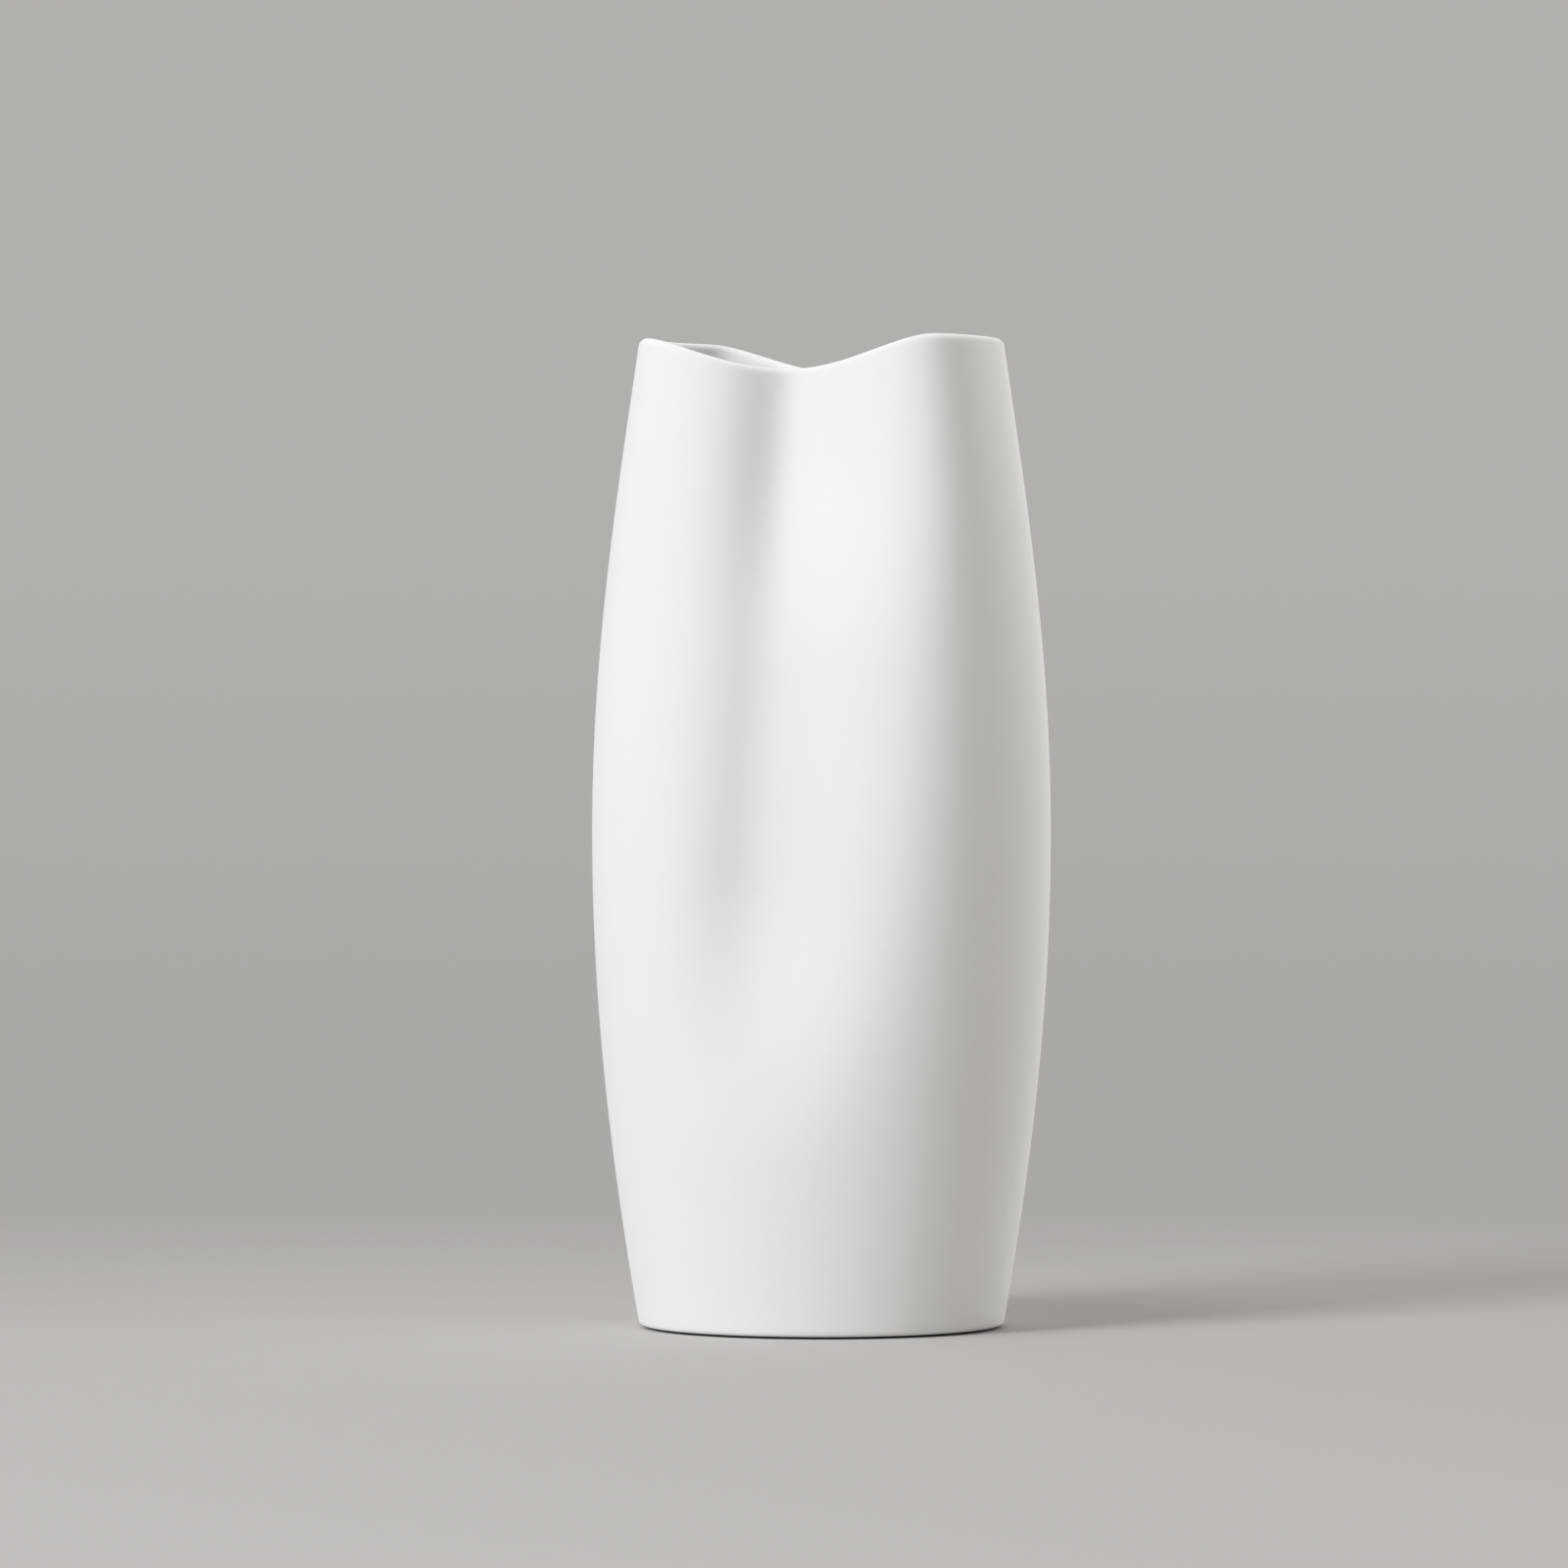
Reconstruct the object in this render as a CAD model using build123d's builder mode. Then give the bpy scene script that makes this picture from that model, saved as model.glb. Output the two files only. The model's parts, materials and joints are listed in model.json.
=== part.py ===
from build123d import *
import os
from math import copysign, cos, exp, hypot, pi, sin, sqrt

# A pillow vase of bare white porcelain, in millimetres.
# The table is at Z = 0, the vase's axis is Z, and its front is at -Y.
# The back is the front after half a turn about the axis.

# Body
height = 280.0            # table to the high points of the rim
belly_width = 130.0       # widest place, half way up
side_easing_low = 0.09    # how much the sides straighten towards the foot
side_easing_high = 0.25   # and towards the mouth
base_width = 103.0        # across the round foot
mouth_width = 103.0       # across the rim from side to side
mouth_depth = 90.0        # across the rim from front to back, before the grooves are pressed in
flatten_power = 2.2       # how late the round body turns into the flatter mouth
wall = 4.0                # thickness of the cast wall
floor_thickness = 3.5     # porcelain between the water and the hollow under it
floor_corner = 9.0        # rounding between the floor and the wall inside

# Groove pressed into the front, from low on the body up to the rim
groove_depth = 12.3       # along the belly
groove_mouth_depth = 19.8 # at the rim
groove_foot_z = 48.0      # where it starts to sink in
groove_fade = 80.5        # from there up to where it has its belly depth
pinch_length = 95.0       # from the rim down to where it starts to deepen
pinch_fade = 60.5         # from there up to where it has its full depth
groove_foot_x = -23.75    # its bottom line, carried down to the table
groove_mouth_x = -5.6     # its bottom line at the rim
groove_left_low = 22.3    # reach of its left slope at the table
groove_left_high = 13.8   # and at the rim
groove_right_low = 17.7   # reach of its right slope at the table
groove_right_high = 38.0  # and at the rim
lobe_swell = 13.5         # how far the right lobe of the rim swells and the left one sinks
both_swell = 4.5          # how far both lobes swell on top of that
swell_power = 1.53        # how late the lobes grow

# Rim
rim_dip = 9.2             # how far the wave of the rim falls
rim_dip_x = -9.2          # where the front wave is lowest
rim_dip_left = 42.3       # from its lowest point to its left end
rim_dip_right = 43.0      # from its lowest point to its right end
rim_power_left = 1.2      # how softly the wave ends on the left
rim_power_right = 2.0     # and on the right
wave_length = 180.0       # from the rim down to where the rings round the body are level

# Foot
foot_edge = 1.2           # rounding of the outer edge of the foot
foot_ring_width = 15.0    # ring of porcelain that carries the vase
foot_hollow = 2.5         # hollow under the floor, inside the ring
hollow_corner = 1.2       # rounding inside that hollow

# Felt ring and its adhesive, set in a shallow seat under the foot ring
felt_thickness = 1.0
felt_margin_out = 2.2     # porcelain left beside it, on the outside of the foot ring
felt_margin_in = 3.8      # and on the inside
adhesive_thickness = 0.2
seat_depth = 0.5
seat_clearance = 0.15     # beside the felt, on each side

# Clear glaze inside
glaze_thickness = 0.4
glaze_clearance = 0.1     # keeps the film's solid just off the wall's
glaze_margin = 9.0        # from the rim down to the edge of the glaze

# How finely the curved body is drawn
points_round = 48         # round each ring
wall_rings = 40           # steps up each side of the wall
arc_rings = 4             # steps in each quarter of a rounding
tangent_step = 0.008      # radians either side of a point, where its direction is taken

# Values that follow from those above
foot_z = felt_thickness + adhesive_thickness - seat_depth
floor_z = foot_z + foot_hollow + floor_thickness
base_radius = base_width / 2
hollow_radius = base_radius - foot_ring_width
felt_outer = base_radius - felt_margin_out
felt_inner = hollow_radius + felt_margin_in
glaze_top = height - glaze_margin
pinch_z = height - pinch_length
wave_z = height - wave_length
lip_radius = wall / 2
angles = [2 * pi * k / points_round for k in range(points_round)]


def ease(share):
    """Rises from 0 to 1 and is level at both ends."""
    share = min(max(share, 0.0), 1.0)
    return share * share * (3 - 2 * share)


def between(low, high, z):
    """A value that goes from low at the table to high at the rim."""
    return low + (high - low) * z / height


def half_width(z):
    """Half the width of the barrel at a height."""
    from_middle = 2 * z / height - 1
    end_width = mouth_width if from_middle > 0 else base_width
    easing = side_easing_high if from_middle > 0 else side_easing_low
    fall = (1 + easing) * from_middle**2 - easing * from_middle**4
    return (belly_width - (belly_width - end_width) * fall) / 2


def front_reach(x, z):
    """How far the front stands out from the middle plane, at a place across it and a height."""
    half = half_width(z)
    across = x / half
    rise = z / height
    depth = half * (1 - (1 - mouth_depth / mouth_width) * rise**flatten_power)
    # Both are 0 in the middle and at the two sides, and 1 at their highest between them
    lobe = across * (1 - across**2) * 3 * sqrt(3) / 2
    both = across**2 * (1 - across**2) * 4
    swell = rise**swell_power * (lobe_swell * lobe + both_swell * both)
    groove = groove_depth * ease((z - groove_foot_z) / groove_fade)
    groove += (groove_mouth_depth - groove_depth) * ease((z - pinch_z) / pinch_fade)
    off = x - between(groove_foot_x, groove_mouth_x, z)
    if off < 0:
        slope = between(groove_left_low, groove_left_high, z)
    else:
        slope = between(groove_right_low, groove_right_high, z)
    groove *= exp(-((off / slope) ** 2))
    return sqrt(max(1 - across**2, 0)) * (depth + swell - groove)


def front_or_back(angle):
    """1 on the front half of the body, and -1 on the back half."""
    return 1 if sin(angle) < 0 else -1


def outside(angle, z):
    """A point of the outer face, seen from above."""
    side = front_or_back(angle)
    x = side * half_width(z) * cos(angle)
    return side * x, -side * front_reach(x, z)


def drawn_in(angle, z, inset):
    """The same point, moved straight in through the wall."""
    x_before, y_before = outside(angle - tangent_step, z)
    x_after, y_after = outside(angle + tangent_step, z)
    run_x = x_after - x_before
    run_y = y_after - y_before
    run = hypot(run_x, run_y)
    x, y = outside(angle, z)
    return x - inset * run_y / run, y + inset * run_x / run


def rim_fall(angle):
    """How far the rim lies below its high points. Each face's wave runs on round the sides."""
    fall = 0
    for turned in (angle, angle + pi):
        across = cos(turned)
        if sin(turned) > 0:
            across = copysign(2 - abs(across), across)
        off = across * mouth_width / 2 - rim_dip_x
        length = rim_dip_left if off < 0 else rim_dip_right
        power = rim_power_left if off < 0 else rim_power_right
        if abs(off) < length:
            fall += rim_dip * cos(abs(off) / length * pi / 2) ** power
    return fall


def ring(level, inset):
    """A closed line round the body, level low down and turning into the rim's wave above."""
    points = []
    for angle in angles:
        z = level - rim_fall(angle) * ease((level - wave_z) / wave_length)
        x, y = drawn_in(angle, z, inset)
        points.append((x, y, z))
    places = [k / points_round for k in range(points_round + 1)]
    return Wire([Edge.make_spline(points, parameters=places, periodic=True)])


# A stretch is a list of stations along the wall's profile, each a level and an inset
def rounding(bottom, inset, radius):
    """From a flat bottom round its edge and into the wall."""
    turns = [pi / 2 * k / arc_rings for k in range(arc_rings + 1)]
    return [(bottom + radius * (1 - cos(turn)), inset + radius * (1 - sin(turn))) for turn in turns]


def straight(low, high, inset):
    """Up the wall."""
    return [(low + (high - low) * k / wall_rings, inset) for k in range(wall_rings + 1)]


def round_lip(top, outer, inner):
    """From the outside over the lip to the inside."""
    radius = (inner - outer) / 2
    turns = [pi / 2 * k / arc_rings for k in range(2 * arc_rings + 1)]
    return [(top - radius * (1 - sin(turn)), outer + radius * (1 - cos(turn))) for turn in turns]


def skin(stretches):
    """The solid inside a skin of lofts, one for each stretch, closed by a flat face at each end."""
    faces = [Face(ring(*stretches[0][0])), Face(ring(*stretches[-1][-1]))]
    for stretch in stretches:
        faces += Shell.make_loft([ring(level, inset) for level, inset in stretch]).faces()
    return Solid(Shell(faces))


# The body's skin goes up the outside, over the lip and down the inside to the floor
body_skin = skin([
    rounding(foot_z, 0, foot_edge),
    straight(foot_z + foot_edge, height - lip_radius, 0),
    round_lip(height, 0, wall),
    straight(height - lip_radius, floor_z + floor_corner, wall),
    rounding(floor_z, wall, floor_corner)[::-1],
])

# The glaze's skin goes up beside the wall, in along its edge and down again
film_outer = wall + glaze_clearance
film_inner = film_outer + glaze_thickness
film_bottom = floor_z + glaze_clearance
film_corner = floor_corner - glaze_clearance
film_edge = film_bottom + film_corner
film_skin = skin([
    rounding(film_bottom, film_outer, film_corner),
    straight(film_edge, glaze_top, film_outer),
    [(glaze_top, film_outer), (glaze_top, film_inner)],
    straight(glaze_top, film_edge, film_inner),
    rounding(film_bottom + glaze_thickness, film_inner, film_corner - glaze_thickness)[::-1],
])

# Body: one casting, with a hollow under its floor and a seat for the felt
with BuildPart() as vase_body:
    add(body_skin)
    with BuildSketch(Plane.XY.offset(foot_z)):
        Circle(hollow_radius)
    extrude(amount=foot_hollow, mode=Mode.SUBTRACT)
    hollow_edge = vase_body.edges(Select.LAST).group_by(Axis.Z)[-1]
    fillet(hollow_edge, min(hollow_corner, foot_hollow / 2))
    with BuildSketch(Plane.XY.offset(foot_z)):
        Circle(felt_outer + seat_clearance)
        Circle(felt_inner - seat_clearance, mode=Mode.SUBTRACT)
    extrude(amount=seat_depth, mode=Mode.SUBTRACT)

# Glaze: a thin film over the inside, up to a line below the rim
with BuildPart() as glaze_lining:
    add(film_skin)

# Felt ring
with BuildPart() as felt_pad:
    with BuildSketch(Plane.XY):
        Circle(felt_outer)
        Circle(felt_inner, mode=Mode.SUBTRACT)
    extrude(amount=felt_thickness)

# Adhesive between the felt and the bottom of its seat
with BuildPart() as pad_adhesive:
    with BuildSketch(Plane.XY.offset(felt_thickness)):
        Circle(felt_outer)
        Circle(felt_inner, mode=Mode.SUBTRACT)
    extrude(amount=adhesive_thickness)

os.makedirs("parts", exist_ok=True)
pieces = {
    "vase_body": vase_body,
    "glaze_lining": glaze_lining,
    "felt_pad": felt_pad,
    "pad_adhesive": pad_adhesive,
}
for name, piece in pieces.items():
    piece.part.label = name
    export_step(piece.part, f"parts/{name}.step")
    print(name, round(piece.part.volume), "cubic mm", piece.part.bounding_box().size)
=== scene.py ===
# %% [markdown]
# # A pillow vase of bare porcelain
#
# The vase is cast in one piece, left bare and matt outside, glazed inside, and it stands on a ring of
# felt. The construction already holds every piece at its real size and place, so nothing is fitted here.
# Each piece that shows gets a smooth mesh and a finish made of shader nodes, and then a plain studio is
# set round it.

# %% Load the construction
import json
from math import atan2, pi, radians

import bmesh
import bpy
import numpy as np
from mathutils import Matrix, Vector

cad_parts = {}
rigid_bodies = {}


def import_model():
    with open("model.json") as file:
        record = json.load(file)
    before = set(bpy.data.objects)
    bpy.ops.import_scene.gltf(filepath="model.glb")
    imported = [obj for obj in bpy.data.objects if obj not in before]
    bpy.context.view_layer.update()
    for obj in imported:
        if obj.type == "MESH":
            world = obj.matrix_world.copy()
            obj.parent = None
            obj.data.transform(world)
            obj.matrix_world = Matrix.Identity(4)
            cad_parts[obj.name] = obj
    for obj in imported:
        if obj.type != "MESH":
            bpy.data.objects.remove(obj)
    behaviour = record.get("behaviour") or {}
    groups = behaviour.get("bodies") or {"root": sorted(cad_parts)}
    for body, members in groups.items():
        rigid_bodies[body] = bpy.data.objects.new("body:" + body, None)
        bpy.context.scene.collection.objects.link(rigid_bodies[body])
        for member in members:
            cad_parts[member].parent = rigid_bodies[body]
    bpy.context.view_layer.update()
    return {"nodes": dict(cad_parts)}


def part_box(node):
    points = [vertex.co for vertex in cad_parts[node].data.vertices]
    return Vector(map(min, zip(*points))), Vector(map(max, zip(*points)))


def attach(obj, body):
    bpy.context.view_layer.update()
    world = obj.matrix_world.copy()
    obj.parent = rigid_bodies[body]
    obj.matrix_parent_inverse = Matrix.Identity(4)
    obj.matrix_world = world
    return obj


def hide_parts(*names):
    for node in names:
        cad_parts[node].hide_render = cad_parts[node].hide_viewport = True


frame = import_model()
mm = 0.001
print("nodes:", sorted(frame["nodes"]))

# %% [markdown]
# ## The form of the body
#
# The body is a barrel that is round at the foot and flatter at the mouth. A soft groove is pressed into
# its front, left of the middle, from low on the belly up to the rim, and the rim dips where the groove
# meets it. The back is the front after half a turn. Such a form could be sculpted, but then every stroke
# would be a guess. A formula for the section at each height is exact and stays smooth, so the form is
# written as one, in metres.

# %% Sizes of the barrel
body_low, body_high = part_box("vase_body")
height = body_high.z                    # table to the high points of the rim
foot_z = body_low.z                     # table to the underside of the porcelain
belly_width = body_high.x - body_low.x  # widest place, half way up
side_easing_low = 0.09                  # how much the sides straighten towards the foot
side_easing_high = 0.25                 # and towards the mouth
base_width = 103 * mm                   # across the round foot
mouth_width = 103 * mm                  # across the rim from side to side
mouth_depth = 90 * mm                   # across the rim from front to back, without the grooves
flatten_power = 2.2                     # how late the round body turns into the flatter mouth
wall = 4 * mm
print("body:", round(height / mm, 1), "mm high and", round(belly_width / mm, 1), "mm wide")

# %% Sizes of the groove and the lobes beside it
groove_depth = 12.3 * mm                # along the belly
groove_mouth_depth = 19.8 * mm          # at the rim
groove_foot_z = 48 * mm                 # where it starts to sink in
groove_fade = 80.5 * mm                 # from there up to where it has its belly depth
pinch_length = 95 * mm                  # from the rim down to where it starts to deepen
pinch_fade = 60.5 * mm                  # from there up to where it has its full depth
groove_foot_x = -23.75 * mm             # its bottom line, carried down to the table
groove_mouth_x = -5.6 * mm              # its bottom line at the rim
groove_left_low = 22.3 * mm             # reach of its left slope at the table
groove_left_high = 13.8 * mm            # and at the rim
groove_right_low = 17.7 * mm            # reach of its right slope at the table
groove_right_high = 38 * mm             # and at the rim
lobe_swell = 13.5 * mm                  # how far the right lobe of the rim swells and the left one sinks
both_swell = 4.5 * mm                   # how far both lobes swell on top of that
swell_power = 1.53                      # how late the lobes grow
print("groove:", round(groove_depth / mm, 1), "mm deep,", round(groove_mouth_depth / mm, 1), "at the rim")

# %% Sizes of the rim's wave
rim_dip = 9.2 * mm                      # how far the wave falls
rim_dip_x = -9.2 * mm                   # where the front wave is lowest
rim_dip_left = 42.3 * mm                # from its lowest point to its left end
rim_dip_right = 43 * mm                 # from its lowest point to its right end
rim_power_left = 1.2                    # how softly the wave ends on the left
rim_power_right = 2                     # and on the right
wave_length = 180 * mm                  # from the rim down to where the rings round the body are level
print("rim: dips", round(rim_dip / mm, 1), "mm")


# %% The section at a height
def ease(share):
    """Rises from 0 to 1 and is level at both ends."""
    share = np.clip(share, 0, 1)
    return share * share * (3 - 2 * share)


def between(low, high, z):
    """A value that goes from low at the table to high at the rim."""
    return low + (high - low) * z / height


def half_width(z):
    """Half the width of the barrel at a height."""
    from_middle = 2 * z / height - 1
    end_width = np.where(from_middle > 0, mouth_width, base_width)
    easing = np.where(from_middle > 0, side_easing_high, side_easing_low)
    fall = (1 + easing) * from_middle**2 - easing * from_middle**4
    return (belly_width - (belly_width - end_width) * fall) / 2


def front_reach(x, z):
    """How far the front stands out from the middle plane, at a place across it and a height."""
    half = half_width(z)
    across = x / half
    rise = z / height
    depth = half * (1 - (1 - mouth_depth / mouth_width) * rise**flatten_power)
    # Both are 0 in the middle and at the two sides, and 1 at their highest between them
    lobe = across * (1 - across**2) * 3 * np.sqrt(3) / 2
    both = across**2 * (1 - across**2) * 4
    swell = rise**swell_power * (lobe_swell * lobe + both_swell * both)
    groove = groove_depth * ease((z - groove_foot_z) / groove_fade)
    pinch_z = height - pinch_length
    groove = groove + (groove_mouth_depth - groove_depth) * ease((z - pinch_z) / pinch_fade)
    off = x - between(groove_foot_x, groove_mouth_x, z)
    left = between(groove_left_low, groove_left_high, z)
    right = between(groove_right_low, groove_right_high, z)
    groove = groove * np.exp(-((off / np.where(off < 0, left, right)) ** 2))
    return np.sqrt(np.clip(1 - across**2, 0, 1)) * (depth + swell - groove)


def outside(angle, z):
    """A point of the outer face, seen from above."""
    side = np.where(np.sin(angle) < 0, 1, -1)
    x = side * half_width(z) * np.cos(angle)
    return side * x, -side * front_reach(x, z)


right_side, _ = outside(0.0, height / 2)
print("half the belly:", round(float(right_side) / mm, 2), "mm")

# %% The wall's thickness and the rim's wave
tangent_step = 0.008  # radians either side of a point, where its direction is taken


def drawn_in(angle, z, inset):
    """A point of the outer face, moved straight in through the wall."""
    x_before, y_before = outside(angle - tangent_step, z)
    x_after, y_after = outside(angle + tangent_step, z)
    run_x = x_after - x_before
    run_y = y_after - y_before
    run = np.hypot(run_x, run_y)
    x, y = outside(angle, z)
    return x - inset * run_y / run, y + inset * run_x / run


def rim_fall(angle):
    """How far the rim lies below its high points. Each face's wave runs on round the sides."""
    fall = 0
    for turned in (angle, angle + pi):
        across = np.cos(turned)
        across = np.where(np.sin(turned) > 0, np.copysign(2 - abs(across), across), across)
        off = across * mouth_width / 2 - rim_dip_x
        length = np.where(off < 0, rim_dip_left, rim_dip_right)
        power = np.where(off < 0, rim_power_left, rim_power_right)
        level = np.cos(np.minimum(abs(off) / length, 1) * pi / 2)
        fall = fall + rim_dip * np.maximum(level, 0) ** power
    return fall


print("rim at the front:", round(float(rim_fall(-pi / 2)) / mm, 2), "mm below its high points")

# %% [markdown]
# ## A tube as the blank
#
# The skin of the body runs up the outside, over the lip and down the inside, so it is one long tube
# turned in on itself. A plain cylinder is cut into rings by Subdivide, and each ring then gets its
# station on the wall's profile: a level and a distance in from the outer face. Spin would be quicker for
# a round pot, but no section of this one is round above the foot. A Subdivision Surface rounds what lies
# between the rings.

# %% Cut a plain tube into rings
points_round = 128      # points on each ring
most_cuts = 100         # as many as one Subdivide may make
least_rise = 1e-6 * mm  # an edge that rises less is level


def select_nothing():
    """Leaves no object selected, so that an operator acts on the new piece alone."""
    bpy.ops.object.select_all(action="DESELECT")


def cut_upright_edges(cuts):
    """Subdivides the upright edges of the tube in edit mode, with that many cuts in each."""
    mesh = bmesh.from_edit_mesh(bpy.context.object.data)
    for edge in mesh.edges:
        edge.select_set(abs(edge.verts[0].co.z - edge.verts[1].co.z) > least_rise)
    bmesh.update_edit_mesh(bpy.context.object.data)
    bpy.ops.mesh.subdivide(number_cuts=cuts)


def plain_tube(name, steps):
    """An open cylinder of that many steps, each a millimetre high."""
    select_nothing()
    bpy.ops.mesh.primitive_cylinder_add(
        vertices=points_round, radius=base_width / 2, depth=steps * mm, end_fill_type="NOTHING"
    )
    piece = bpy.context.object
    piece.name = name
    piece.data.name = name
    bpy.ops.object.mode_set(mode="EDIT")
    bpy.ops.mesh.select_mode(type="EDGE")
    coarse = next(k for k in range(2, steps) if steps % k == 0 and steps // k <= most_cuts)
    cut_upright_edges(coarse - 1)
    cut_upright_edges(steps // coarse - 1)
    bpy.ops.object.mode_set(mode="OBJECT")
    return piece


# %% Press the tube into its form
def pressed_tube(name, stations):
    """A tube with a ring at each station of the profile, pressed into the form of the vase."""
    steps = len(stations) - 1
    piece = plain_tube(name, steps)
    places = np.empty(len(piece.data.vertices) * 3)
    piece.data.vertices.foreach_get("co", places)
    places = places.reshape(-1, 3)
    ring = np.rint(places[:, 2] / mm + steps / 2).astype(int)
    angle = np.arctan2(places[:, 1], places[:, 0])
    level, inset = np.array(stations)[ring].T
    share = ease((level - height + wave_length) / wave_length)
    places[:, 2] = level - rim_fall(angle) * share
    places[:, 0], places[:, 1] = drawn_in(angle, places[:, 2], inset)
    piece.data.vertices.foreach_set("co", places.ravel())
    piece.data.update()

    smoother = piece.modifiers.new("Smoother", "SUBSURF")
    smoother.levels = 1
    smoother.render_levels = smoother.levels
    bpy.ops.object.modifier_apply(modifier=smoother.name)
    print(name, "has", len(stations), "rings and", len(piece.data.polygons), "faces")
    return piece


# %% [markdown]
# ## Stations of the porcelain
#
# The foot has a small rounded edge, the lip is a full half round as thick as the wall, and the floor
# meets the wall in a hollow curve, because a sharp inner corner would crack in the kiln. Each rounding
# gets stations of its own, close together, and the plain wall gets one every few millimetres.

# %% Roundings and straight stretches of a profile
def quarter(steps):
    """Turns from 0 to a quarter of a circle."""
    return [pi / 2 * k / steps for k in range(steps + 1)]


def rounding(bottom, inset, radius, steps):
    """From a flat bottom round its edge and into the wall."""
    turns = quarter(steps)
    return [(bottom + radius * (1 - np.cos(turn)), inset + radius * (1 - np.sin(turn))) for turn in turns]


def straight(low, high, inset, steps):
    """Up or down the wall, without its first station."""
    return [(low + (high - low) * k / steps, inset) for k in range(1, steps + 1)]


def round_lip(top, inset, radius, steps):
    """From the outside over the lip to the inside, without its first station."""
    turns = [pi / steps * k for k in range(1, steps + 1)]
    return [(top - radius * (1 - np.sin(turn)), inset + radius * (1 - np.cos(turn))) for turn in turns]


# %% Stations from the foot to the floor
foot_edge = 1.2 * mm        # rounding of the outer edge of the foot
foot_hollow = 2.5 * mm      # hollow under the floor
floor_thickness = 3.5 * mm  # porcelain between that hollow and the inside
floor_corner = 9 * mm       # rounding between the floor and the wall inside
floor_z = foot_z + foot_hollow + floor_thickness
lip_radius = wall / 2
foot_steps = 4
outer_steps = 72
lip_steps = 10
inner_steps = 60
corner_steps = 6

body_stations = rounding(foot_z, 0, foot_edge, foot_steps)
body_stations += straight(foot_z + foot_edge, height - lip_radius, 0, outer_steps)
body_stations += round_lip(height, 0, lip_radius, lip_steps)
body_stations += straight(height - lip_radius, floor_z + floor_corner, wall, inner_steps)
body_stations += rounding(floor_z, wall, floor_corner, corner_steps)[::-1][1:]
vase = pressed_tube("porcelain_body", body_stations)

# %% [markdown]
# ## Closing the floor and the foot
#
# The tube is still open at both ends: at the floor inside and under the foot. Both are round there, so
# they are turned like a bowl on a lathe: the open ring is selected, extruded, and scaled to the next
# radius, again and again. Fill would close each end with a single face, which shades badly and has no
# place for the felt's seat.

# %% Turn rings from an open end
level_slack = 0.1 * mm                    # how far a ring may lie from the level that is asked for
disc_shares = (0.8, 0.6, 0.4, 0.2, 0.05)  # radii of a disc's rings, as shares of its own


def edit_only(piece):
    """Goes into edit mode with that piece alone."""
    select_nothing()
    piece.select_set(True)
    bpy.context.view_layer.objects.active = piece
    bpy.ops.object.mode_set(mode="EDIT")


def select_open_ring(piece, level):
    """Goes into edit mode with the piece's open ring at that level selected, and gives its radius."""
    edit_only(piece)
    bpy.ops.mesh.select_mode(type="EDGE")
    bpy.ops.mesh.select_all(action="DESELECT")
    mesh = bmesh.from_edit_mesh(piece.data)
    open_edges = [edge for edge in mesh.edges if edge.is_boundary]
    ring = [edge for edge in open_edges if abs(edge.verts[0].co.z - level) < level_slack]
    for edge in ring:
        edge.select_set(True)
    bmesh.update_edit_mesh(piece.data)
    return sum(edge.verts[0].co.xy.length for edge in ring) / len(ring)


def turn_rings(radius, level, profile):
    """Extrudes the selected ring from its radius and level through each radius and level of the profile."""
    for next_radius, next_level in profile:
        bpy.ops.mesh.extrude_region_move(TRANSFORM_OT_translate={"value": (0, 0, next_level - level)})
        share = next_radius / radius
        bpy.ops.transform.resize(value=(share, share, 1), center_override=(0, 0, next_level))
        radius, level = next_radius, next_level


def close_with_disc(piece, level):
    """Closes the open ring at that level with rings that shrink to a middle point."""
    radius = select_open_ring(piece, level)
    turn_rings(radius, level, [(radius * share, level) for share in disc_shares])
    bpy.ops.mesh.merge(type="CENTER")
    bpy.ops.object.mode_set(mode="OBJECT")


# %% Turn the faces outwards
merge_distance = 0.001 * mm
smooth_angle = radians(40)


def face_outwards(piece):
    """Merges doubles, turns every face outwards and shades the piece smooth where it is soft."""
    edit_only(piece)
    bpy.ops.mesh.select_all(action="SELECT")
    bpy.ops.mesh.remove_doubles(threshold=merge_distance)
    bpy.ops.mesh.normals_make_consistent(inside=False)
    bpy.ops.object.mode_set(mode="OBJECT")
    bpy.ops.object.shade_smooth_by_angle(angle=smooth_angle)
    mesh = bmesh.new()
    mesh.from_mesh(piece.data)
    open_edges = sum(not edge.is_manifold for edge in mesh.edges)
    print(piece.name, "volume", round(mesh.calc_volume() / mm**3), "cubic mm, open edges", open_edges)
    mesh.free()


# %% Close the porcelain
foot_ring_width = 15 * mm    # ring of porcelain that carries the vase
hollow_corner = 1.2 * mm     # rounding inside the hollow under the floor
hollow_steps = 5
felt_margin_out = 2.2 * mm   # porcelain left beside the felt, on the outside of the foot ring
felt_margin_in = 3.8 * mm    # and on the inside
seat_depth = 0.5 * mm
seat_clearance = 0.15 * mm   # beside the felt, on each side
hollow_radius = base_width / 2 - foot_ring_width
felt_outer = base_width / 2 - felt_margin_out
felt_inner = hollow_radius + felt_margin_in
seat_outer = felt_outer + seat_clearance
seat_inner = felt_inner - seat_clearance
hollow_top = foot_z + foot_hollow

underside = [(seat_outer, foot_z), (seat_outer, foot_z + seat_depth)]
underside += [(seat_inner, foot_z + seat_depth), (seat_inner, foot_z), (hollow_radius, foot_z)]
for turn in quarter(hollow_steps):
    across = hollow_corner * (1 - np.cos(turn))
    down = hollow_corner * (1 - np.sin(turn))
    underside.append((hollow_radius - across, hollow_top - down))

close_with_disc(vase, floor_z)
turn_rings(select_open_ring(vase, foot_z), foot_z, underside)
bpy.ops.object.mode_set(mode="OBJECT")
close_with_disc(vase, hollow_top)
face_outwards(vase)
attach(vase, "root")
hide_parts("vase_body")

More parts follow.
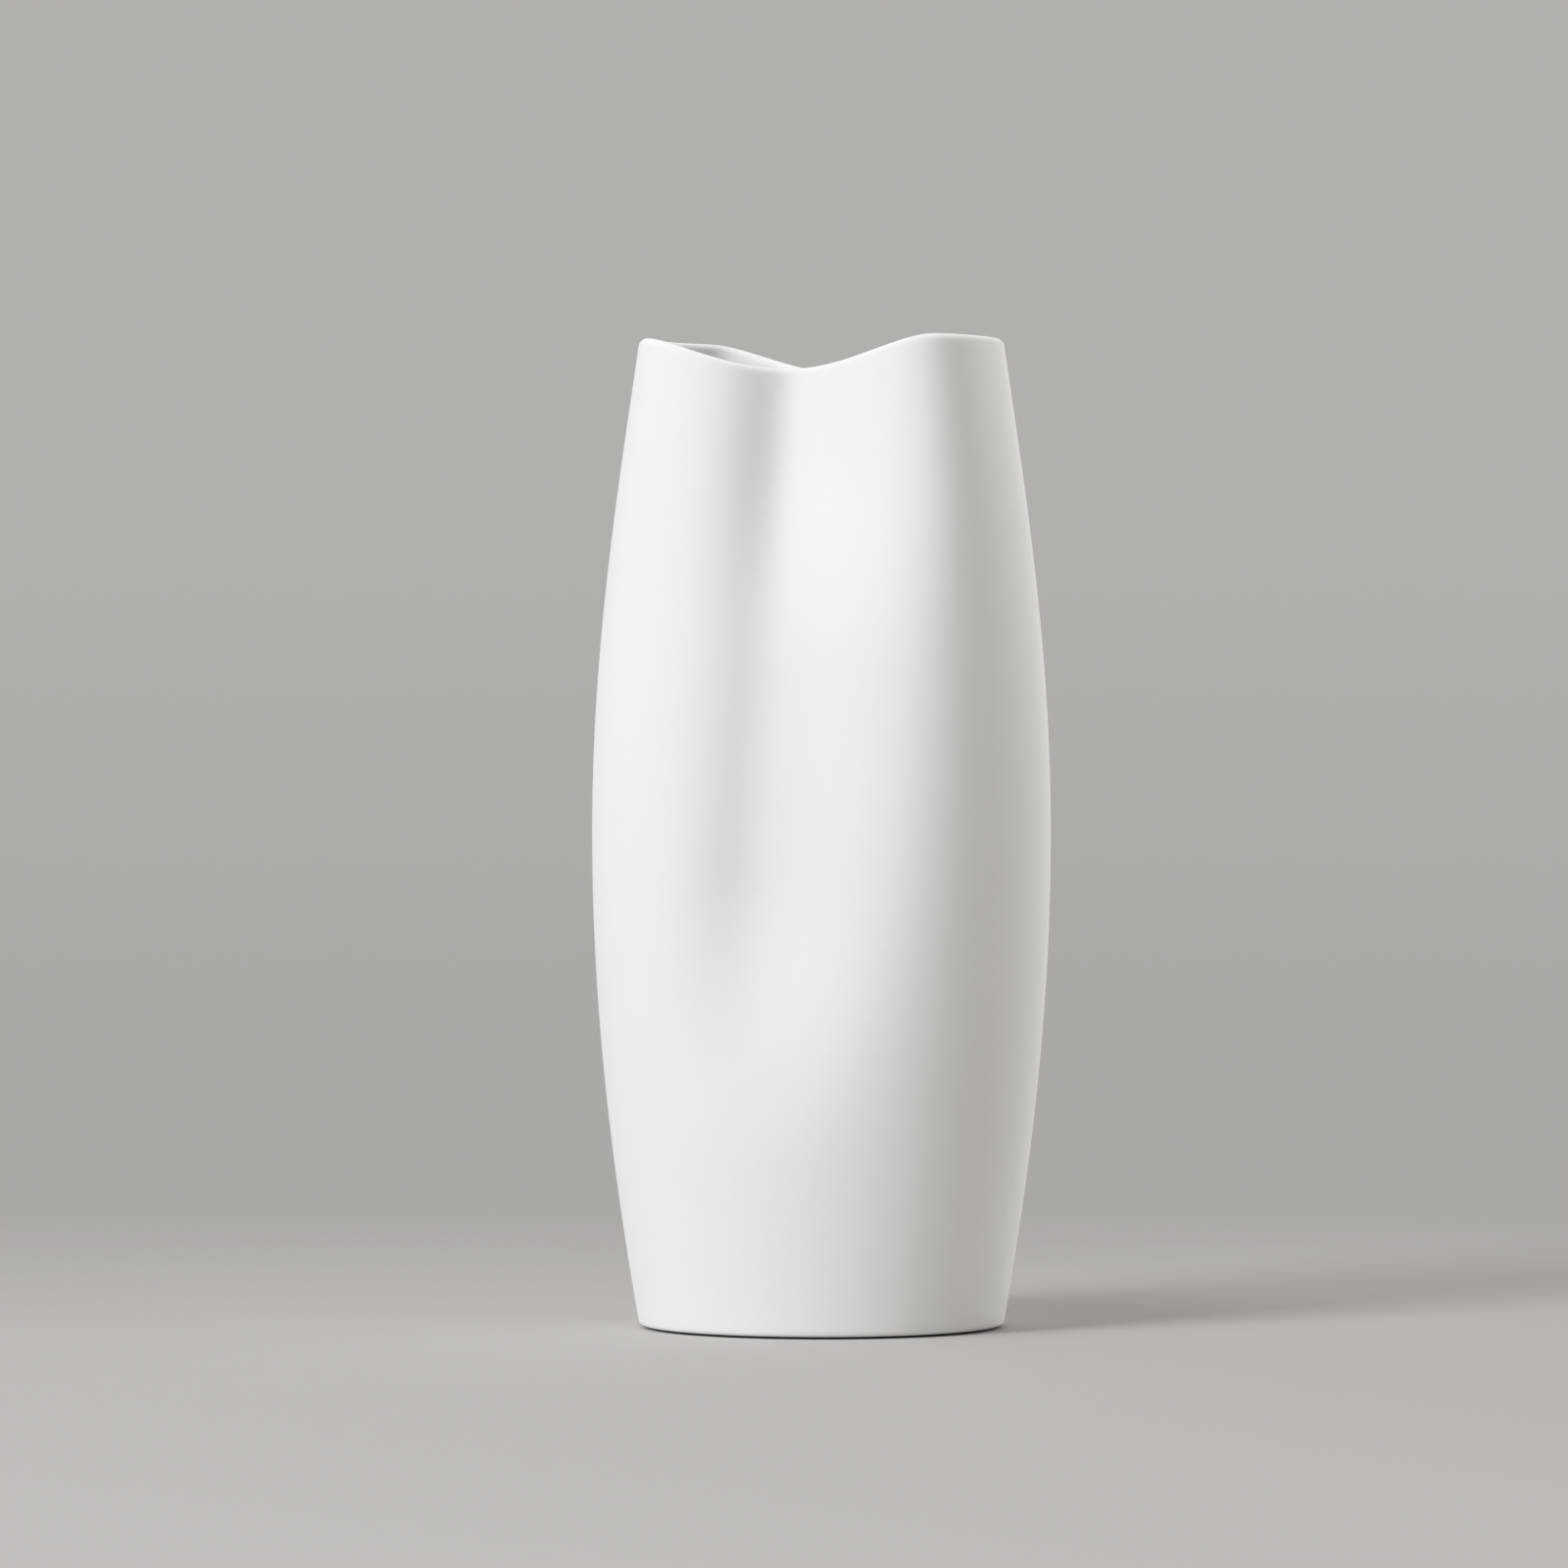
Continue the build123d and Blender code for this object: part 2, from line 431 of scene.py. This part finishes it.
# %% [markdown]
# ## The glaze inside
#
# Bare porcelain of this kind drinks water, so the inside is glazed up to a line just below the rim. The
# glaze could be only a material on the inner wall, but it is a layer of its own with an edge that stands
# a little proud, and that edge catches the light. So it is a thin pressed tube like the body, with a
# floor at each end.

# %% Make the glaze lining
glaze_thickness = 0.4 * mm
glaze_clearance = 0.1 * mm  # keeps the film just off the wall
glaze_margin = 9 * mm       # from the rim down to the edge of the glaze
glaze_top = height - glaze_margin
film_outer = wall + glaze_clearance
film_inner = film_outer + glaze_thickness
film_bottom = floor_z + glaze_clearance
film_floor = film_bottom + glaze_thickness
film_corner = floor_corner - glaze_clearance
film_edge = film_bottom + film_corner
up_steps = 58
down_steps = 59

glaze_stations = rounding(film_bottom, film_outer, film_corner, corner_steps)
glaze_stations += straight(film_edge, glaze_top, film_outer, up_steps)
glaze_stations += [(glaze_top, film_inner)]
glaze_stations += straight(glaze_top, film_edge, film_inner, down_steps)
glaze_stations += rounding(film_floor, film_inner, film_corner - glaze_thickness, corner_steps)[::-1][1:]
glaze = pressed_tube("glaze_film", glaze_stations)
close_with_disc(glaze, film_bottom)
close_with_disc(glaze, film_floor)
face_outwards(glaze)
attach(glaze, "root")
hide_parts("glaze_lining")

# %% [markdown]
# ## The felt ring
#
# A ring of dark felt keeps the foot from scratching the table. Only its edge shows, as a thin dark line
# under the vase. It is turned from one circle, like the foot, along a section with soft corners, because
# pressed felt has no sharp edge.

# %% Section of the felt ring
felt_low, felt_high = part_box("felt_pad")
felt_thickness = felt_high.z - felt_low.z
felt_corner = 0.3 * mm
felt_steps = 4
felt_corners = [
    (felt_outer - felt_corner, felt_corner, -pi / 2),
    (felt_outer - felt_corner, felt_thickness - felt_corner, 0),
    (felt_inner + felt_corner, felt_thickness - felt_corner, pi / 2),
    (felt_inner + felt_corner, felt_corner, pi),
]
section = []
for middle_radius, middle_z, start in felt_corners:
    for turn in quarter(felt_steps):
        radius = middle_radius + felt_corner * np.cos(start + turn)
        section.append((radius, middle_z + felt_corner * np.sin(start + turn)))
print("felt section:", len(section), "points,", round(felt_thickness / mm, 2), "mm thick")

# %% Turn the felt ring
felt_points = 192
first_radius, first_level = section[0]
select_nothing()
bpy.ops.mesh.primitive_circle_add(vertices=felt_points, radius=first_radius)
felt = bpy.context.object
felt.name = "felt_ring"
bpy.ops.object.mode_set(mode="EDIT")
turn_rings(first_radius, first_level, section[1:] + section[:1])
bpy.ops.object.mode_set(mode="OBJECT")
face_outwards(felt)
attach(felt, "root")
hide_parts("felt_pad")

# %% [markdown]
# ## Writing shader maths
#
# A finish is a graph of nodes. Drawn by hand it is a tangle, so here one small class stands for a wire
# between nodes. Plain arithmetic on a wire adds the Math nodes, and every other node comes from one
# method.

# %% Wires and finishes
class Wire:
    """One output of a shader node. Arithmetic on it adds Math nodes."""

    def __init__(self, finish, socket):
        self.finish = finish
        self.socket = socket

    def maths(self, operation, first, second):
        return self.finish.node("ShaderNodeMath", {"operation": operation}, {0: first, 1: second})

    def __add__(self, other):
        return self.maths("ADD", self, other)

    def __radd__(self, other):
        return self.maths("ADD", other, self)

    def __mul__(self, other):
        return self.maths("MULTIPLY", self, other)

    def __rmul__(self, other):
        return self.maths("MULTIPLY", other, self)


class Finish:
    """A graph of shader nodes, for a material or for the world."""

    def __init__(self, holder):
        holder.use_nodes = True
        self.tree = holder.node_tree
        self.tree.nodes.clear()

    def node(self, kind, settings=None, sockets=None, output=0):
        """Adds a node. Its settings are set first, then its sockets get their values or links."""
        made = self.tree.nodes.new(kind)
        for name, value in (settings or {}).items():
            setattr(made, name, value)
        for name, value in (sockets or {}).items():
            if isinstance(value, Wire):
                self.tree.links.new(value.socket, made.inputs[name])
            else:
                made.inputs[name].default_value = value
        return Wire(self, made.outputs[output]) if made.outputs else None

    def place(self):
        """Where on the piece a point lies, in metres."""
        return self.node("ShaderNodeTexCoord", output="Object")

    def noise(self, place, scale, detail):
        """Soft noise from 0 to 1, with about that many lumps in a metre."""
        return self.node("ShaderNodeTexNoise", None, {"Vector": place, "Scale": scale, "Detail": detail})

    def stretched(self, place, scale):
        """The place, scaled along each axis, so that a pattern on it is drawn out."""
        return self.node("ShaderNodeMapping", None, {"Vector": place, "Scale": scale})

    def mix(self, share, first, second):
        """A colour between two colours."""
        return self.node("ShaderNodeMix", {"data_type": "RGBA"}, {0: share, 6: first, 7: second}, output=2)

    def bump(self, height, distance, strength):
        """A normal that leans as if the surface had that height, in metres."""
        sockets = {"Height": height, "Distance": distance, "Strength": strength}
        return self.node("ShaderNodeBump", None, sockets)

    def surface(self, sockets):
        """Ends the graph in a Principled shader with those sockets."""
        shader = self.node("ShaderNodeBsdfPrincipled", None, sockets)
        self.node("ShaderNodeOutputMaterial", None, {"Surface": shader})


def dress(piece, material):
    """Gives a piece one material."""
    piece.data.materials.clear()
    piece.data.materials.append(material)
    print(piece.name, "wears", material.name, "with", len(material.node_tree.nodes), "nodes")


# %% [markdown]
# ## Bare porcelain
#
# Bisque is white clay, fired and left bare. It is matt, with a grain like very fine sandpaper, faint
# level traces of the damp sponge that smoothed it, and a slight cloudiness where the clay fired a little
# creamier. A flat white would look like plastic, so grain and traces go into a bump and the clouds into
# colour and roughness.

# %% Make the bisque
cream_clay = (0.868, 0.861, 0.848, 1)
white_clay = (0.888, 0.884, 0.875, 1)
bisque = bpy.data.materials.new("bare_bisque")
clay = Finish(bisque)
place = clay.place()
clouds = clay.noise(place, scale=22, detail=3)
grain = clay.noise(place, scale=2600, detail=2)
traces = clay.noise(clay.stretched(place, (30, 30, 900)), scale=1, detail=3)
clay.surface(
    {
        "Base Color": clay.mix(clouds, cream_clay, white_clay),
        "Roughness": 0.72 + 0.1 * grain + 0.08 * clouds,
        "Normal": clay.bump(0.6 * grain + 0.4 * traces, distance=0.05 * mm, strength=0.35),
        "Diffuse Roughness": 0.3,
        "Specular IOR Level": 0.25,
    }
)
dress(vase, bisque)

# %% [markdown]
# ## Clear glaze
#
# Over white porcelain a clear glaze reads as glossy white. It is never quite even: it ripples a little
# where it ran down the wall. The ripples are a long soft bump, and the gloss is the shader's own.

# %% Make the glaze
cream_glaze = (0.872, 0.867, 0.856, 1)
white_glaze = (0.892, 0.889, 0.881, 1)
glaze_finish = bpy.data.materials.new("clear_glaze")
gloss = Finish(glaze_finish)
place = gloss.place()
ripple = gloss.noise(gloss.stretched(place, (60, 60, 25)), scale=1, detail=2)
clouds = gloss.noise(place, scale=30, detail=2)
gloss.surface(
    {
        "Base Color": gloss.mix(clouds, cream_glaze, white_glaze),
        "Roughness": 0.07 + 0.06 * clouds,
        "Normal": gloss.bump(ripple, distance=0.3 * mm, strength=0.4),
        "IOR": 1.5,
    }
)
dress(glaze, glaze_finish)

# %% [markdown]
# ## Felt and adhesive
#
# Felt is a mat of short fibres lying every way. Two noises, drawn out along and across, stand for the
# fibres in colour and bump. The adhesive is a cured film between the felt and its seat. It is hidden, but
# it is a piece of the object and is finished like one.

# %% Make the felt
dark_fibre = (0.022, 0.02, 0.019, 1)
pale_fibre = (0.075, 0.07, 0.066, 1)
felt_finish = bpy.data.materials.new("dark_felt")
wool = Finish(felt_finish)
place = wool.place()
fibres_along = wool.noise(wool.stretched(place, (900, 3600, 1800)), scale=1, detail=4)
fibres_across = wool.noise(wool.stretched(place, (3600, 900, 1800)), scale=1, detail=4)
fibres = 0.5 * fibres_along + 0.5 * fibres_across
wool.surface(
    {
        "Base Color": wool.mix(fibres, dark_fibre, pale_fibre),
        "Roughness": 0.85 + 0.1 * fibres,
        "Normal": wool.bump(fibres, distance=0.15 * mm, strength=0.8),
        "Sheen Weight": 0.25,
    }
)
dress(felt, felt_finish)

# %% Make the adhesive
dark_smear = (0.55, 0.5, 0.42, 1)
pale_smear = (0.7, 0.66, 0.58, 1)
adhesive_finish = bpy.data.materials.new("cured_adhesive")
glue = Finish(adhesive_finish)
place = glue.place()
smears = glue.noise(glue.stretched(place, (120, 120, 400)), scale=1, detail=3)
glue.surface(
    {
        "Base Color": glue.mix(smears, dark_smear, pale_smear),
        "Roughness": 0.3 + 0.25 * smears,
        "Normal": glue.bump(smears, distance=0.05 * mm, strength=0.5),
    }
)
dress(frame["nodes"]["pad_adhesive"], adhesive_finish)

# %% [markdown]
# ## The studio
#
# The vase stands on a sheet of pale grey paper that runs up into the backdrop with no visible corner. A
# curved sheet would stand in the way when the vase is looked at from behind. So the floor is a flat disc
# that fades away towards its edge, and the backdrop is the world's own colour, which looks the same from
# every side.

# %% The floor
paper_grey = (0.615, 0.597, 0.584, 1)
floor_radius = 3.0
floor_points = 96
floor_middle = (0, -0.45, 0)  # middle of the paper that shows, in front of the vase
clear_from = 0.4              # from there to where the paper starts to fade
clear_at = 1.15               # and to where it is gone

select_nothing()
bpy.ops.mesh.primitive_circle_add(vertices=floor_points, radius=floor_radius, fill_type="NGON")
floor = bpy.context.object
floor.name = "floor"
paper = bpy.data.materials.new("paper")
sheet = Finish(paper)
place = sheet.place()
away = sheet.node(
    "ShaderNodeVectorMath", {"operation": "DISTANCE"}, {0: place, 1: floor_middle}, output="Value"
)
shown = sheet.node(
    "ShaderNodeMapRange",
    {"interpolation_type": "SMOOTHSTEP"},
    {"Value": away, "From Min": clear_from, "From Max": clear_at, "To Min": 1, "To Max": 0},
)
tooth = sheet.noise(place, scale=900, detail=3)
sheet.surface(
    {
        "Base Color": paper_grey,
        "Roughness": 0.9,
        "Alpha": shown,
        "Normal": sheet.bump(tooth, distance=0.05 * mm, strength=0.3),
        "Specular IOR Level": 0.2,
    }
)
dress(floor, paper)

# %% The backdrop all round
backdrop_low = (0.411, 0.39, 0.375, 1)
backdrop_high = (0.45, 0.428, 0.412, 1)
change_from = -0.05  # upward part of the direction of view where the lower grey starts to change
change_to = 0.03     # and where it has become the upper grey
world = bpy.data.worlds.new("backdrop")
bpy.context.scene.world = world
room = Finish(world)
looking = room.node("ShaderNodeTexCoord", output="Generated")
upwards = room.node("ShaderNodeSeparateXYZ", None, {"Vector": looking}, output="Z")
rise = room.node(
    "ShaderNodeMapRange",
    {"interpolation_type": "SMOOTHSTEP"},
    {"Value": upwards, "From Min": change_from, "From Max": change_to},
)
grey = room.mix(rise, backdrop_low, backdrop_high)
glow = room.node("ShaderNodeBackground", None, {"Color": grey, "Strength": 1})
room.node("ShaderNodeOutputWorld", None, {"Surface": glow})
print("backdrop from", backdrop_low[:3], "to", backdrop_high[:3])

# %% [markdown]
# ## Lamps
#
# Two large soft lamps stand on the left. The low one is the key: it makes the left of the vase bright,
# lets the right fall into a grey shade and lays a soft shadow to the right and behind. The high one
# lightens the floor and keeps the far end of that shadow soft. Two weak lamps behind on the right give
# the right edge its thin light line, and one high behind lights the lip. In a studio these three would be
# shaded off the floor with black cards. Here light linking does it.

# %% Set the lamps
daylight = (0.94, 0.97, 1)
warm_light = (1, 0.97, 0.95)
middle = Vector((0, 0, height / 2))
vase_only = bpy.data.collections.new("vase_only")
for piece in (vase, glaze, felt):
    vase_only.objects.link(piece)


def softbox(name, azimuth, elevation, distance, size, power, colour=(1, 1, 1), receivers=None):
    """A square lamp that looks at the middle of the vase. Azimuth 0 is in front, and 90 is on the right."""
    turn = radians(azimuth)
    lift = radians(elevation)
    towards = Vector((np.sin(turn) * np.cos(lift), -np.cos(turn) * np.cos(lift), np.sin(lift)))
    select_nothing()
    bpy.ops.object.light_add(type="AREA", location=middle + towards * distance)
    lamp = bpy.context.object
    lamp.name = name
    lamp.rotation_euler = towards.to_track_quat("Z", "Y").to_euler()
    lamp.data.size = size
    lamp.data.energy = power
    lamp.data.color = colour
    lamp.light_linking.receiver_collection = receivers
    print(name, "at", [round(value, 2) for value in lamp.location], "with", power, "W")


softbox("key", azimuth=-46, elevation=24, distance=6, size=2, power=198, colour=daylight)
softbox("overhead", azimuth=-46, elevation=66, distance=6, size=2, power=60, colour=warm_light)
softbox("rim", azimuth=120, elevation=35, distance=1.4, size=0.5, power=4.5, receivers=vase_only)
softbox("low_rim", azimuth=145, elevation=8, distance=1.4, size=0.5, power=7.5, receivers=vase_only)
softbox("lip_light", azimuth=180, elevation=60, distance=1.4, size=0.8, power=3, receivers=vase_only)

# %% [markdown]
# ## The camera
#
# The photograph was taken from far away with a long lens, from about two thirds of the vase's height. The
# base shows as a very flat ellipse and the inside of the mouth only as a sliver, which fixes the camera's
# height.

# %% Place the camera
picture = 1600           # pixels across the photograph
lens = 205               # millimetres, as the sensor is
sensor = 36
focal_pixels = picture * lens / sensor
camera_distance = 2.53
camera_height = 0.18
axis_pixel = 838.2       # column of the vase's axis
horizon_pixel = 706      # row of what lies as high as the camera
scene = bpy.context.scene
pixel = camera_distance / focal_pixels
camera_x = -(axis_pixel - picture / 2) * pixel
camera_place = (camera_x, -camera_distance, camera_height)
pitch = atan2(picture / 2 - horizon_pixel, focal_pixels)
select_nothing()
bpy.ops.object.camera_add(location=camera_place, rotation=(pi / 2 - pitch, 0, 0))
scene.camera = bpy.context.object
scene.camera.data.lens = lens
scene.camera.data.sensor_width = sensor
scene.view_settings.view_transform = "Standard"
print("camera at", [round(value, 3) for value in scene.camera.location])
